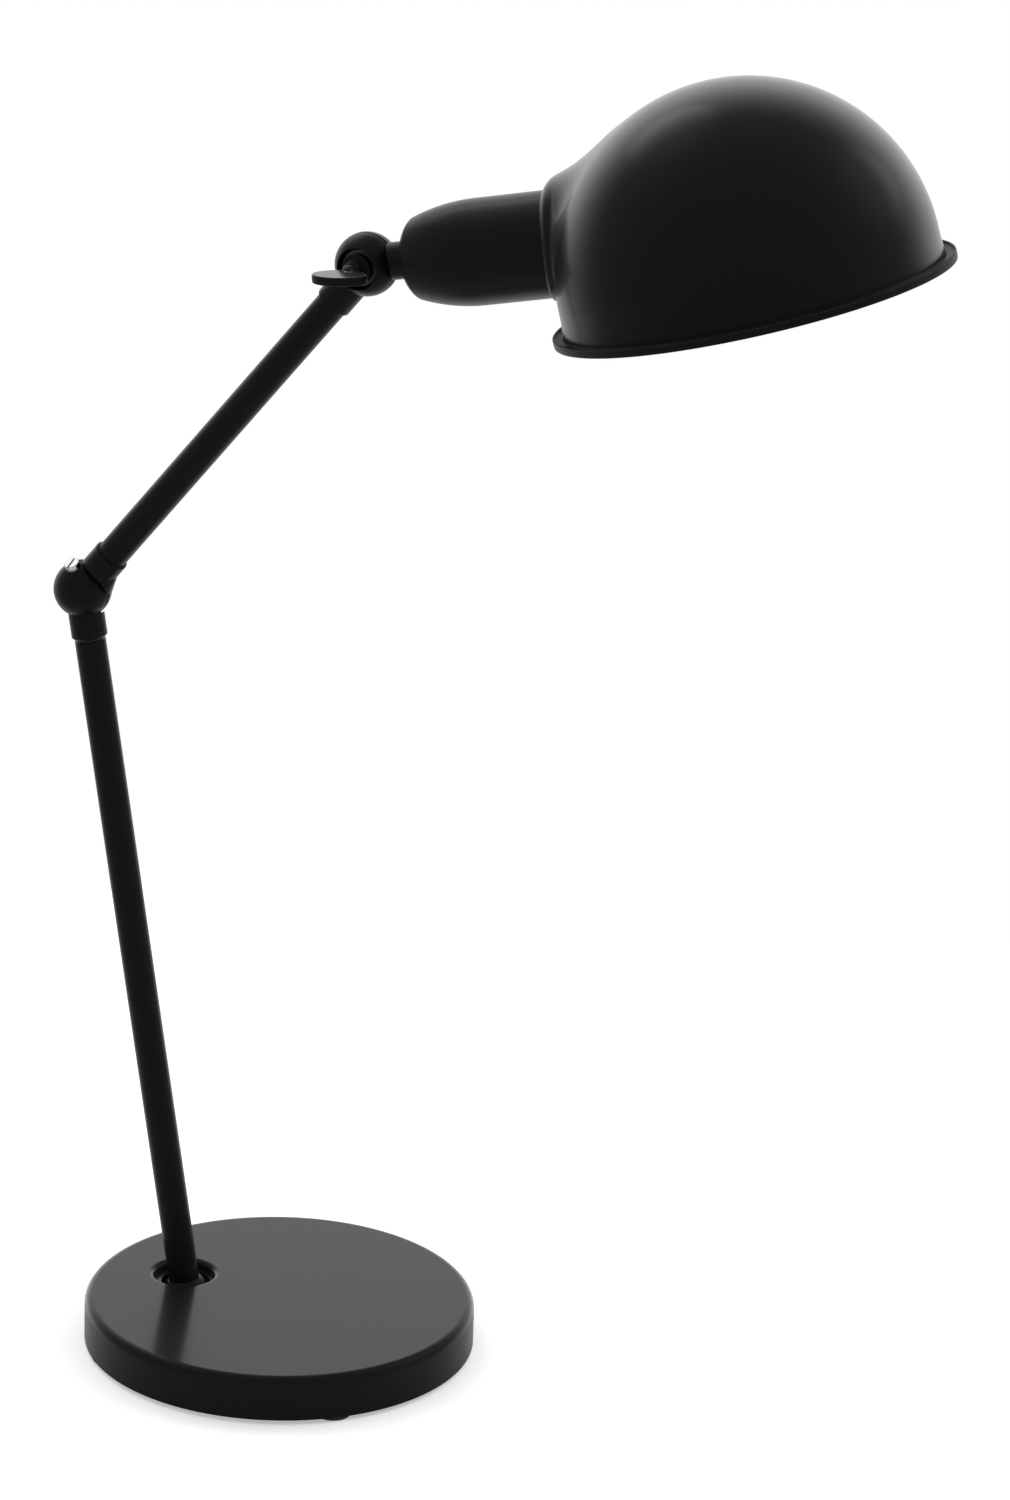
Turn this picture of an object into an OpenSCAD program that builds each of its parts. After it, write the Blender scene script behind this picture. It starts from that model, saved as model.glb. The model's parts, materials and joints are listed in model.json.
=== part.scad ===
/* [Base] */
// Outer diameter of the round base
base_d = 170; // [160:1:190]
// Height of the base's top face above the table
base_h = 21.5; // [21.5:0.5:24]
// Gap between the table and the cover's lower rim, filled by the feet
foot_h = 2.1; // [1.6:0.1:2.6]
// Diameter of a rubber foot
foot_d = 16; // [12:1:18]
// Radius of the cover's rounded top edge
cover_edge_r = 3.4; // [2.5:0.1:4]
// Thickness of the cover's sheet steel
cover_t = 1.2; // [1:0.1:1.5]
// Radius of the round recess where the arm enters the cover
recess_r = 12.9; // [12.5:0.1:16]
// Rounding where the recess meets the cover's top
recess_lip_r = 2.4; // [2:0.1:3]
// Distance of the recess from the centre of the base
recess_x = 47.3; // [44:0.1:48]

/* [Arms] */
// Outer diameter of both arm tubes
tube_d = 13.4; // [12.5:0.1:14]
// Wall thickness of the arm tubes
tube_t = 1; // [0.8:0.1:1.2]
// Distance from the base hinge to the elbow
lower_len = 323.9; // [280:1:360]
// Distance from the elbow to the wrist
upper_len = 209.7; // [180:1:250]
// How far the lower arm leans back from upright
lower_lean = 9.77; // [4:0.5:12]
// How far the upper arm leans forward from upright
upper_lean = 38.85; // [37:0.5:55]
// Outer diameter of the knuckles' ferrules
ferrule_d = 15.5; // [15.2:0.1:16]
// Diameter of the elbow's ball
elbow_d = 25; // [24.5:0.1:26]
// Diameter of the wrist's ball
wrist_d = 26.7; // [26:0.1:28]

/* [Head] */
// Rise of the socket housing's axis above level
head_rise = 14.14; // [5:0.5:25]
// Outer diameter of the socket housing
housing_d = 43.8; // [43.6:0.1:46]
// Distance from the wrist to the seam between housing and shade
seam_u = 87.2; // [84:0.2:92]
// Outer diameter of the shade's dome
dome_d = 154.8; // [150:1:170]
// How far the rim stands out beyond the dome all round
rim_step = 5; // [4:0.5:8]
// How far the boss round the housing stands out of the dome
boss_len = 5.2; // [4:0.2:8]
// Distance of the dome's centre below the housing's axis
dome_drop = 19.4; // [18:0.2:21]
// Tilt of the rim against the housing's axis
rim_tilt = 2.27; // [0:0.1:4]
// Thickness of the shade's sheet
shade_t = 1; // [0.8:0.1:1.2]

/* [Hidden] */
$fn = 96;
black = [0.09, 0.09, 0.1];
// Clearance round a turning pin or shank
run_gap = 0.05;
// Clearance round a fixed screw, nipple or bush
fix_gap = 0.03;
// Clearance between parts that move past each other without touching
free_gap = 0.6;
// Overshoot of a cutting shape, so that it cuts clean through
cut = 1;
// Overshoot of a countersink, small enough to leave its size alone
sliver = 0.01;

// Base levels and radii
base_r = base_d / 2;
plate_t = 1.5;
plate_z = foot_h + plate_t;
// Play between the bottom plate's edge and the cover's wall
plate_play = 0.4;
plate_r = base_r - cover_t - plate_play;
// Step from the bottom plate's edge in to the weight's side
weight_inset = 5.4;
weight_r = plate_r - weight_inset;
weight_h = 12;
recess_depth = 3.9;
floor_z = base_h - recess_depth;
// Width of the recess sheet's joint with the cover's top
recess_seam = 0.8;
// The hinge lies this far below the base's top and this far ahead of the recess's middle
pivot_drop = 11.2;
pivot_ahead = 1.43;
pivot_z = base_h - pivot_drop;
pivot_x = -recess_x + pivot_ahead;
foot_ball_r = 11.3;
// Hole in the recess's floor, and how far behind the hinge its middle lies
floor_hole_r = 10.7;
floor_hole_back = 0.6;
pocket_gap = 3.5;
pocket_r = recess_r + cover_t + pocket_gap;
// Edge of the base to edge of a foot
foot_inset = 0.6;
foot_ring_r = base_r - foot_d / 2 - foot_inset;
foot_bevel = 0.6;
// The cord's bush lies this far below the middle of the base's height
bush_drop = 1.2;
bush_z = base_h / 2 - bush_drop;
bush_r = 4.5;
bush_bore_r = 3.1;
post_ring_r = 56;
post_r = 4;
screw_ring_r = 40;
screw_r = 2;
screw_head_r = 3.4;
screw_len = 8;
foot_spigot_r = 2.4;
bush_flange_r = 6.4;
bush_flange_t = 1.6;
bush_len = 5;
bush_nut_r = 6.4;
bush_nut_t = 2.4;
// The nut's corners meet the cover's round wall here
bush_nut_x = -sqrt(pow(base_r - cover_t, 2) - bush_nut_r * bush_nut_r);
bracket_t = 1.5;
bracket_w = 24;
bracket_screw_x = 9;
bracket_screw_r = 1.5;
bracket_head_r = 2.7;

// Base hinge
cheek_in = 4;
cheek_t = 2;
cheek_r = 4.8;
tongue_r = 4.6;
hinge_washer_t = 0.8;
hinge_pin_r = 2;
hinge_head_r = 3.5;
hinge_head_t = 2.4;
hinge_nut_r = 4;
hinge_nut_t = 3;
// The foot's ball is cut off below, and above where the tube stands on it
foot_cut_z = 5.6;
foot_shoulder = 0.6;
foot_seat_r = tube_d / 2 + foot_shoulder;
foot_top_z = sqrt(foot_ball_r * foot_ball_r - foot_seat_r * foot_seat_r);
spigot_len = 22;
lead_hole_r = 1.8;
lead_hole_tilt = 125;

// Arm knuckles, measured along each arm from the ball's centre
tube_r = tube_d / 2;
tube_in_r = tube_r - tube_t;
ferrule_r = ferrule_d / 2;
ferrule_chamfer = 0.8;
elbow_r = elbow_d / 2;
wrist_r = wrist_d / 2;
half_gap = 0.5;
elbow_low_end = 21.5;
elbow_low_gap = 1.2;
elbow_up_end = 22.9;
wrist_low_end = 24.2;
seam_gap = 0.15;
nipple_r = 4.9;
nipple_bore_r = 3.4;
nipple_in = 8;
tube_bush_len = 12;
friction_r = 8;
friction_slack = 0.02;
pivot_r = 2.5;
pivot_len = 7.5;
pivot_head_r = 4.2;
pivot_head_h = 2.8;
pivot_head_y = 7;
pivot_slot_w = 1.2;
pivot_slot_d = 1.3;
spring_t = 1;
stop_tilt = 25.4;
stop_seat_z = 11.9;
stop_tip_z = 5.5;
stop_head_r = 3.3;
stop_head_h = 2.7;
stop_turn = 82;
stop_slot_w = 0.9;
stop_slot_d = 1.1;
stop_r = 1.5;
gusset_tilt = 16.4;
gusset_z = 6;
gusset_r = 10.75;
gusset_end_r = 2.7;
gusset_h = 12;

// Wing screw, measured along the wrist's axis toward the wing
wing_shank_r = 3;
recess_mouth_r = 8.8;
recess_floor_y = 5.5;
press_washer_t = 1.5;
press_washer_r = 7.6;
wing_shank_y = 8;
wing_flange_r = 6.4;
wing_flange_y = 10.8;
wing_hub_r = 4;
wing_hub_y = 14.5;
wing_plate_y = 25;
wing_plate_l = 24.5;
wing_plate_w = 13.9;
wing_plate_t = 3.7;
wing_rise = 6;
// Corners of the oval plate's outline
wing_steps = 48;

// Head, measured along the housing's axis from the wrist
neck_r = 7.8;
// The nipple starts just outside the room in which the arm's half ball turns
head_nipple_clear = 0.2;
head_nipple_z = wrist_r + free_gap + head_nipple_clear;
locknut_r = 8;
locknut_t = 3;
housing_r = housing_d / 2;
housing_t = 0.9;
housing_u = 21.4;
shoulder_u = 53;
shoulder_r = 85;
end_flat_r = 9.3;
end_corner_r = 10;
// Play between the shade's collar and the housing
collar_gap = 0.15;
collar_r = housing_r + shade_t + collar_gap;
seam_bend_r = 56;
seam_tilt = 4;
// The boss's ball, its place past the seam and above the housing's axis
bulge_r = 24.5;
bulge_past = 19.5;
bulge_u = seam_u + bulge_past;
bulge_up = 8.5;
dome_r = dome_d / 2;
dome_u = seam_u + boss_len + dome_r;
// The housing ends this far past the near side of the dome
flange_past = 0.6;
flange_u = seam_u + boss_len + flange_past;
rim_r = dome_r + rim_step;
skirt_drop = 8.5;
flange_drop = 8.9;
rim_drop = 12.8;
// Lampholder, whose cap screws onto the nipple
cap_u = 40;
cap_cone_h = 10;
cap_h = 22;
cap_r1 = 10;
cap_r2 = 17;
cap_in_r = 15;
cap_floor_t = 9;
body_past = 14;
body_u = cap_u + body_past;
body_shoulder_u = cap_u + cap_h;
body_ring_h = 3;
body_in_r = 12;
skirt_r = 19.8;
insert_past = 24;
insert_u = cap_u + insert_past;
insert_h = 4.6;
shell_r = 13.3;
shell_t = 0.5;
contact_r = 4;
contact_t = 0.6;
contact_tip_r = 3;
contact_tip_h = 1.6;
// The screw shell starts just past the contact's tip
contact_clear = 0.2;
shell_u = insert_u + insert_h + contact_t + contact_tip_h + contact_clear;
mouth_past = 13;
mouth_u = seam_u + mouth_past;
mouth_lip = 2;
terminal_x = 6;
terminal_r = 1.4;
terminal_head_r = 2.6;
terminal_head_h = 2;
terminal_len = 4;
clamp_ring_h = 6;
// Segments of the large round parts where the shape is shown as a mesh
fine = 180;

// Places of the three joints
pivot_p = [pivot_x, 0, pivot_z];
elbow_p = pivot_p + lower_len * [-sin(lower_lean), 0, cos(lower_lean)];
wrist_p = elbow_p + upper_len * [sin(upper_lean), 0, cos(upper_lean)];

// Frames: each puts +Z along its arm and keeps Y along the hinge axes
module lower_frame() translate(pivot_p) rotate([0, -lower_lean, 0]) children();
module elbow_low_frame() translate(elbow_p) rotate([0, -lower_lean, 0]) children();
module elbow_up_frame() translate(elbow_p) rotate([0, upper_lean, 0]) children();
module wrist_low_frame() translate(wrist_p) rotate([0, upper_lean, 0]) children();
module head_frame() translate(wrist_p) rotate([0, 90 - head_rise, 0]) children();
// The dome's axis points up out of the head frame, whose -X is up
module dome_frame() head_frame() translate([dome_drop, 0, dome_u]) rotate([0, -90 - rim_tilt, 0]) children();

// A cylinder along Y from y0 to y1
module y_cylinder(r, y0, y1) translate([0, y0, 0]) rotate([-90, 0, 0]) cylinder(r = r, h = y1 - y0);

// A ring between two radii
module ring(r_out, r_in, z0, z1) translate([0, 0, z0]) difference() {
    cylinder(r = r_out, h = z1 - z0);
    translate([0, 0, -cut]) cylinder(r = r_in, h = z1 - z0 + 2 * cut);
}

// A rod whose far end is chamfered
module ferrule(r, z1) {
    cylinder(r = r, h = z1 - ferrule_chamfer);
    translate([0, 0, z1 - ferrule_chamfer]) cylinder(r1 = r, r2 = r - ferrule_chamfer, h = ferrule_chamfer);
}

// A countersunk screw that points up, its head's face at z = 0
module countersunk(r, head_r, length) {
    cylinder(r1 = head_r, r2 = r, h = head_r - r);
    cylinder(r = r, h = length);
}

// The hole that takes such a screw
module countersink(r, head_r, depth) {
    translate([0, 0, -cut]) cylinder(r = r + fix_gap, h = depth + cut);
    translate([0, 0, -sliver]) cylinder(r1 = head_r + fix_gap, r2 = r + fix_gap, h = head_r - r);
}

// Copies round a circle
module around(count, radius, start = 0)
    for (i = [0 : count - 1]) rotate([0, 0, start + i * 360 / count]) translate([radius, 0, 0]) children();

// A cheese head with a slot across it, its underside at z = 0
module slotted_head(r, h, slot_w, slot_d) difference() {
    cylinder(r = r, h = h);
    translate([-r - cut, -slot_w / 2, h - slot_d]) cube([2 * (r + cut), slot_w, h]);
}

// The quarter of a bent sheet's section, its centre at the origin
module bend(r, t, quarter) rotate(90 * quarter) difference() {
    intersection() {
        circle(r = r);
        square(r);
    }
    circle(r = r - t);
}

module recess_sheet() rotate_extrude() {
    translate([0, floor_z - cover_t]) square([recess_r + cover_t, cover_t]);
    translate([recess_r, floor_z - cover_t]) square([cover_t, base_h - recess_lip_r - floor_z + cover_t]);
    translate([recess_r + recess_lip_r, base_h - recess_lip_r]) bend(recess_lip_r, cover_t, 1);
    translate([recess_r + recess_lip_r, base_h - cover_t]) square([recess_seam, cover_t]);
}

module base_cover() color(black) difference() {
    union() {
        difference() {
            rotate_extrude() {
                translate([0, base_h - cover_t]) square([base_r - cover_edge_r, cover_t]);
                translate([base_r - cover_edge_r, base_h - cover_edge_r]) bend(cover_edge_r, cover_t, 0);
                translate([base_r - cover_t, foot_h]) square([cover_t, base_h - cover_edge_r - foot_h]);
            }
            translate([-recess_x, 0, floor_z])
                cylinder(r = recess_r + recess_lip_r + recess_seam / 2, h = base_h);
        }
        translate([-recess_x, 0, 0]) recess_sheet();
    }
    translate([pivot_x - floor_hole_back, 0, 0]) cylinder(r = floor_hole_r, h = base_h);
    translate([-base_r - cut, 0, bush_z]) rotate([0, 90, 0])
        cylinder(r = bush_r + fix_gap, h = cover_t + 2 * cut);
}

// Threaded posts welded under the cover's top
module cover_posts() color("silver") around(3, post_ring_r)
    ring(post_r, screw_r + fix_gap, plate_z, base_h - cover_t);

module base_weight() color("dimgray") difference() {
    translate([0, 0, plate_z]) cylinder(r = weight_r, h = weight_h);
    translate([-recess_x, 0, plate_z - cut]) cylinder(r = pocket_r, h = weight_h + 2 * cut);
    translate([0, 0, plate_z - cut]) around(3, post_ring_r)
        cylinder(r = post_r + free_gap / 2, h = weight_h + 2 * cut);
    translate([0, 0, plate_z - cut]) around(3, screw_ring_r)
        cylinder(r = screw_r + fix_gap, h = screw_len + cut);
    // Channel for the lead between the inlet and the arm
    translate([-base_r, -bush_r, plate_z - cut]) cube([base_r - recess_x, 2 * bush_r, weight_h + 2 * cut]);
}

module bottom_plate() color("gray") difference() {
    translate([0, 0, foot_h]) cylinder(r = plate_r, h = plate_t);
    translate([0, 0, foot_h]) {
        around(3, post_ring_r) countersink(screw_r, screw_head_r, plate_t + cut);
        around(3, screw_ring_r) countersink(screw_r, screw_head_r, plate_t + cut);
        around(4, foot_ring_r, 45) translate([0, 0, -cut])
            cylinder(r = foot_spigot_r + fix_gap, h = plate_t + 2 * cut);
    }
    translate([pivot_x, 0, foot_h]) bracket_screw_places()
        countersink(bracket_screw_r, bracket_head_r, plate_t + cut);
}

// Three screws hold the cover's posts, and three hold the weight
module plate_screws() color("silver") translate([0, 0, foot_h]) {
    around(3, post_ring_r) countersunk(screw_r, screw_head_r, screw_len);
    around(3, screw_ring_r) countersunk(screw_r, screw_head_r, screw_len);
}

module rubber_feet() color("black") around(4, foot_ring_r, 45) {
    cylinder(r1 = foot_d / 2 - foot_bevel, r2 = foot_d / 2, h = foot_bevel);
    translate([0, 0, foot_bevel]) cylinder(r = foot_d / 2, h = foot_h - foot_bevel);
    cylinder(r = foot_spigot_r, h = plate_z);
}

module cord_bush() color("black") translate([-base_r, 0, bush_z]) rotate([0, 90, 0]) difference() {
    union() {
        translate([0, 0, -bush_flange_t]) cylinder(r = bush_flange_r, h = bush_flange_t);
        cylinder(r = bush_r, h = bush_len);
    }
    translate([0, 0, -bush_flange_t - cut]) cylinder(r = bush_bore_r, h = bush_flange_t + bush_len + 2 * cut);
}

// The flat-sided nut clears the base's floor and top
module cord_bush_nut() color("black") translate([bush_nut_x, 0, bush_z]) rotate([0, 90, 0]) difference() {
    rotate([0, 0, 30]) cylinder(r = bush_nut_r, h = bush_nut_t, $fn = 6);
    translate([0, 0, -cut]) cylinder(r = bush_r + fix_gap, h = bush_nut_t + 2 * cut);
}

module bracket_screw_places() for (side = [-1, 1]) translate([side * bracket_screw_x, 0, 0]) children();

module hinge_bracket() color("silver") translate([pivot_x, 0, 0]) difference() {
    union() {
        translate([-bracket_w / 2, -cheek_in - cheek_t, plate_z])
            cube([bracket_w, 2 * (cheek_in + cheek_t), bracket_t]);
        for (y = [-cheek_in - cheek_t, cheek_in]) {
            translate([0, 0, pivot_z]) y_cylinder(cheek_r, y, y + cheek_t);
            translate([-cheek_r, y, plate_z]) cube([2 * cheek_r, cheek_t, pivot_z - plate_z]);
        }
    }
    translate([0, 0, pivot_z])
        y_cylinder(hinge_pin_r + fix_gap, -cheek_in - cheek_t - cut, cheek_in + cheek_t + cut);
    translate([0, 0, plate_z - cut]) bracket_screw_places()
        cylinder(r = bracket_screw_r + fix_gap, h = bracket_t + 2 * cut);
}

module bracket_screws() color("silver") translate([pivot_x, 0, foot_h])
    bracket_screw_places() countersunk(bracket_screw_r, bracket_head_r, plate_t + bracket_t);

module hinge_bolt() color("silver") translate([pivot_x, 0, pivot_z]) {
    y_cylinder(hinge_head_r, -cheek_in - cheek_t - hinge_head_t, -cheek_in - cheek_t);
    y_cylinder(hinge_pin_r, -cheek_in - cheek_t, cheek_in + cheek_t + hinge_nut_t + cut);
}

module hinge_nut() color("silver") translate([pivot_x, cheek_in + cheek_t, pivot_z]) rotate([-90, 0, 0])
    difference() {
        cylinder(r = hinge_nut_r, h = hinge_nut_t, $fn = 6);
        translate([0, 0, -cut]) cylinder(r = hinge_pin_r + fix_gap, h = hinge_nut_t + 2 * cut);
    }

module hinge_washers() color("tan") translate([pivot_x, 0, pivot_z])
    for (y = [-cheek_in, cheek_in - hinge_washer_t]) difference() {
        y_cylinder(tongue_r, y, y + hinge_washer_t);
        y_cylinder(hinge_pin_r + run_gap, y - cut, y + hinge_washer_t + cut);
    }

// Ball, tongue and spigot that carry the lower arm on its hinge
module arm_foot() color(black) lower_frame() {
    tongue_y = cheek_in - hinge_washer_t - run_gap;
    difference() {
        union() {
            intersection() {
                sphere(r = foot_ball_r);
                translate([0, 0, foot_cut_z]) cylinder(r = foot_ball_r, h = foot_top_z - foot_cut_z);
            }
            translate([0, 0, foot_cut_z])
                cylinder(r = tube_in_r - fix_gap, h = foot_top_z + spigot_len - foot_cut_z);
        }
        translate([0, 0, foot_cut_z + cover_t]) cylinder(r = nipple_bore_r, h = foot_top_z + spigot_len);
        // Way out for the lead beside the tongue
        translate([0, 0, foot_top_z]) rotate([-lead_hole_tilt, 0, 0])
            cylinder(r = lead_hole_r, h = 2 * foot_ball_r);
    }
    difference() {
        union() {
            y_cylinder(tongue_r, -tongue_y, tongue_y);
            translate([-tongue_r, -tongue_y, 0]) cube([2 * tongue_r, 2 * tongue_y, foot_cut_z]);
        }
        y_cylinder(hinge_pin_r + run_gap, -tongue_y - cut, tongue_y + cut);
    }
}

module lower_tube() color(black) lower_frame()
    ring(tube_r, tube_in_r, foot_top_z, lower_len - elbow_low_end - elbow_low_gap);

// The threaded ring pressed into the end of a tube, from z0 to z1
module tube_bush(z0, z1) color("silver") ring(tube_in_r - fix_gap, nipple_r + fix_gap, z0, z1);

// A hollow threaded nipple from z0 to z1
module nipple(z0, z1) color("silver") ring(nipple_r, nipple_bore_r, z0, z1);

module lower_tube_bush() elbow_low_frame()
    tube_bush(-elbow_low_end - elbow_low_gap - tube_bush_len, -elbow_low_end - elbow_low_gap);

module elbow_lower_nipple() elbow_low_frame()
    nipple(-elbow_low_end - elbow_low_gap - nipple_in, -elbow_low_end + nipple_in);

// The hole in a knuckle's end that takes a nipple
module nipple_hole(z1) translate([0, 0, z1 - nipple_in - half_gap])
    cylinder(r = nipple_r + fix_gap, h = nipple_in + half_gap + cut);

// Half a ball on the +Y side. What lies on the other side is milled round about the hinge axis, so that
// the other half turns in it
module half_ball(r) difference() {
    children();
    y_cylinder(r + free_gap, -2 * r, half_gap);
}

module elbow_lower_knuckle() color(black) elbow_low_frame() difference() {
    rotate([180, 0, 0]) half_ball(elbow_r) {
        union() {
            sphere(r = elbow_r);
            ferrule(ferrule_r, elbow_low_end);
        }
    }
    rotate([180, 0, 0]) nipple_hole(elbow_low_end);
    y_cylinder(pivot_r + fix_gap, -pivot_len - half_gap, cut);
    rotate([stop_tilt, 0, 0]) {
        translate([0, 0, stop_seat_z]) cylinder(r = stop_head_r + fix_gap, h = elbow_r);
        translate([0, 0, stop_tip_z]) cylinder(r = stop_r + fix_gap, h = elbow_r - stop_tip_z);
    }
}

module elbow_friction_washer() color("tan") elbow_low_frame() difference() {
    y_cylinder(friction_r, -half_gap, half_gap - friction_slack);
    y_cylinder(pivot_r + fix_gap, -cut, cut);
}

module elbow_pivot_screw() color("silver") elbow_low_frame() {
    y_cylinder(pivot_r, -pivot_len, pivot_head_y + spring_t);
    translate([0, pivot_head_y + spring_t, 0]) rotate([-90, 0, 0])
        slotted_head(pivot_head_r, pivot_head_h, pivot_slot_w, pivot_slot_d);
}

module elbow_spring_washer() color("silver") elbow_low_frame() difference() {
    y_cylinder(pivot_head_r, pivot_head_y + friction_slack, pivot_head_y + spring_t);
    y_cylinder(pivot_r + fix_gap, pivot_head_y - cut, pivot_head_y + spring_t + cut);
}

// Its head stands in the way of the upper ferrule
module elbow_stop_screw() color("silver") elbow_low_frame() rotate([stop_tilt, 0, 0]) {
    translate([0, 0, stop_seat_z]) rotate([0, 0, stop_turn])
        slotted_head(stop_head_r, stop_head_h, stop_slot_w, stop_slot_d);
    translate([0, 0, stop_tip_z + cut]) cylinder(r = stop_r, h = stop_seat_z - stop_tip_z - cut);
}

module elbow_upper_knuckle() color(black) elbow_up_frame() difference() {
    half_ball(elbow_r) {
        union() {
            sphere(r = elbow_r);
            ferrule(ferrule_r, elbow_up_end);
            // A gusset fills the corner below the ferrule
            rotate([0, gusset_tilt, 0]) translate([0, 0, gusset_z])
                cylinder(r1 = gusset_r, r2 = gusset_end_r, h = gusset_h);
        }
    }
    nipple_hole(elbow_up_end);
    y_cylinder(pivot_r + run_gap, 0, elbow_r);
    y_cylinder(pivot_head_r + free_gap, pivot_head_y, elbow_r + cut);
}

module elbow_upper_nipple() elbow_up_frame() nipple(elbow_up_end - nipple_in, elbow_up_end + nipple_in);

module upper_tube() color(black) elbow_up_frame()
    ring(tube_r, tube_in_r, elbow_up_end + seam_gap, upper_len - wrist_low_end - seam_gap);

module upper_tube_bushes() elbow_up_frame() {
    tube_bush(elbow_up_end + seam_gap, elbow_up_end + seam_gap + tube_bush_len);
    tube_bush(upper_len - wrist_low_end - seam_gap - tube_bush_len, upper_len - wrist_low_end - seam_gap);
}

module wrist_nipple() wrist_low_frame() nipple(-wrist_low_end - nipple_in, -wrist_low_end + nipple_in);

module wrist_arm_knuckle() color(black) wrist_low_frame() difference() {
    rotate([180, 0, 0]) half_ball(wrist_r) {
        union() {
            sphere(r = wrist_r);
            ferrule(ferrule_r, wrist_low_end);
        }
    }
    rotate([180, 0, 0]) nipple_hole(wrist_low_end);
    y_cylinder(wing_shank_r + run_gap, -wrist_r, cut);
    y_cylinder(recess_mouth_r, -wrist_r - cut, -recess_floor_y);
}

module wrist_friction_washer() color("tan") wrist_low_frame() difference() {
    y_cylinder(friction_r, -half_gap, half_gap - friction_slack);
    y_cylinder(wing_shank_r + run_gap, -cut, cut);
}

module wrist_pressure_washer() color("silver") wrist_low_frame() difference() {
    y_cylinder(press_washer_r, -recess_floor_y - press_washer_t, -recess_floor_y);
    y_cylinder(wing_shank_r + run_gap, -wrist_r, cut);
}

// An oval plate on a stem, with the flange that bears on the washer
module wing_screw() color(black) translate(wrist_p) rotate([0, -wing_rise, 0]) {
    y_cylinder(wing_shank_r, -wing_plate_y, wing_shank_y);
    y_cylinder(wing_flange_r, -wing_flange_y, -recess_floor_y - press_washer_t - friction_slack);
    y_cylinder(wing_hub_r, -wing_hub_y, -wing_flange_y);
    translate([0, -wing_plate_y, -wing_plate_t / 2]) linear_extrude(wing_plate_t)
        polygon([for (i = [1 : wing_steps]) let (a = i * 360 / wing_steps)
            [wing_plate_l / 2 * cos(a), wing_plate_w / 2 * sin(a)]]);
}

module wrist_head_knuckle() color(black) head_frame() difference() {
    half_ball(wrist_r) {
        union() {
            sphere(r = wrist_r);
            cylinder(r = neck_r, h = housing_u);
        }
    }
    translate([0, 0, head_nipple_z - half_gap]) cylinder(r = nipple_r + fix_gap, h = housing_u);
    y_cylinder(wing_shank_r + fix_gap, 0, wing_shank_y + cut);
}

module head_nipple() head_frame() nipple(head_nipple_z, cap_u + cap_floor_t - cut);

module housing_locknut() color("silver") head_frame() translate([0, 0, housing_u + housing_t]) difference() {
    cylinder(r = locknut_r, h = locknut_t, $fn = 6);
    translate([0, 0, -cut]) cylinder(r = nipple_r + fix_gap, h = locknut_t + 2 * cut);
}

// Half section of the socket housing, shrunk by t all round
module housing_half(t) {
    translate([0, shoulder_u]) square([housing_r - t, flange_u - shoulder_u + (t > 0 ? cut : 0)]);
    intersection() {
        translate([housing_r - shoulder_r, shoulder_u]) circle(r = shoulder_r - t, $fn = 2 * fine);
        union() {
            translate([0, housing_u + t]) square([end_flat_r, shoulder_u - housing_u - t]);
            translate([end_flat_r, housing_u + end_corner_r]) circle(r = end_corner_r - t);
            translate([0, housing_u + end_corner_r])
                square([housing_r - t, shoulder_u - housing_u - end_corner_r]);
        }
        translate([0, housing_u]) square([housing_r, shoulder_u - housing_u]);
    }
}

module socket_housing() color(black) head_frame() difference() {
    rotate_extrude() difference() {
        housing_half(0);
        housing_half(housing_t);
    }
    translate([0, 0, housing_u - cut]) cylinder(r = nipple_r + fix_gap, h = housing_t + 2 * cut);
}

module lampholder_cap() color("black") head_frame() translate([0, 0, cap_u]) difference() {
    union() {
        cylinder(r1 = cap_r1, r2 = cap_r2, h = cap_cone_h);
        translate([0, 0, cap_cone_h]) cylinder(r = cap_r2, h = cap_h - cap_cone_h);
    }
    translate([0, 0, -cut]) cylinder(r = nipple_r + fix_gap, h = cap_h);
    translate([0, 0, cap_floor_t]) cylinder(r = cap_in_r, h = cap_h);
}

// The body plugs into the cap, centres itself in the housing and carries the lamp's thread
module lampholder_body() color("black") head_frame() difference() {
    union() {
        translate([0, 0, body_u]) cylinder(r = cap_in_r - fix_gap, h = body_shoulder_u - body_u + cut);
        translate([0, 0, body_shoulder_u]) cylinder(r = skirt_r, h = mouth_u - body_shoulder_u);
        translate([0, 0, flange_u - body_ring_h])
            cylinder(r = housing_r - housing_t - run_gap, h = body_ring_h);
    }
    translate([0, 0, body_u - cut]) cylinder(r = body_in_r, h = mouth_u);
    translate([0, 0, insert_u]) cylinder(r = shell_r + shell_t + fix_gap, h = mouth_u);
}

module lampholder_insert() color("white") head_frame() difference() {
    translate([0, 0, insert_u]) cylinder(r = shell_r + shell_t, h = insert_h);
    for (x = [-terminal_x, terminal_x]) translate([x, 0, insert_u - cut])
        cylinder(r = terminal_r + fix_gap, h = insert_h + 2 * cut);
}

module screw_shell() color("gold") head_frame()
    ring(shell_r + shell_t, shell_r, shell_u, mouth_u - mouth_lip);

module centre_contact() color("gold") head_frame() translate([0, 0, insert_u + insert_h]) {
    cylinder(r = contact_r, h = contact_t);
    translate([0, 0, contact_t]) cylinder(r1 = contact_tip_r, r2 = contact_tip_r / 2, h = contact_tip_h);
}

module terminal_screws() color("silver") head_frame()
    for (x = [-terminal_x, terminal_x]) translate([x, 0, insert_u]) {
        translate([0, 0, -terminal_head_h]) cylinder(r = terminal_head_r, h = terminal_head_h);
        cylinder(r = terminal_r, h = terminal_len);
    }

// Screws onto the lampholder's skirt and clamps the shade's inner flange
module shade_ring() color("black") head_frame()
    ring(housing_r - free_gap, skirt_r + fix_gap, flange_u + shade_t, flange_u + shade_t + clamp_ring_h);

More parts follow.
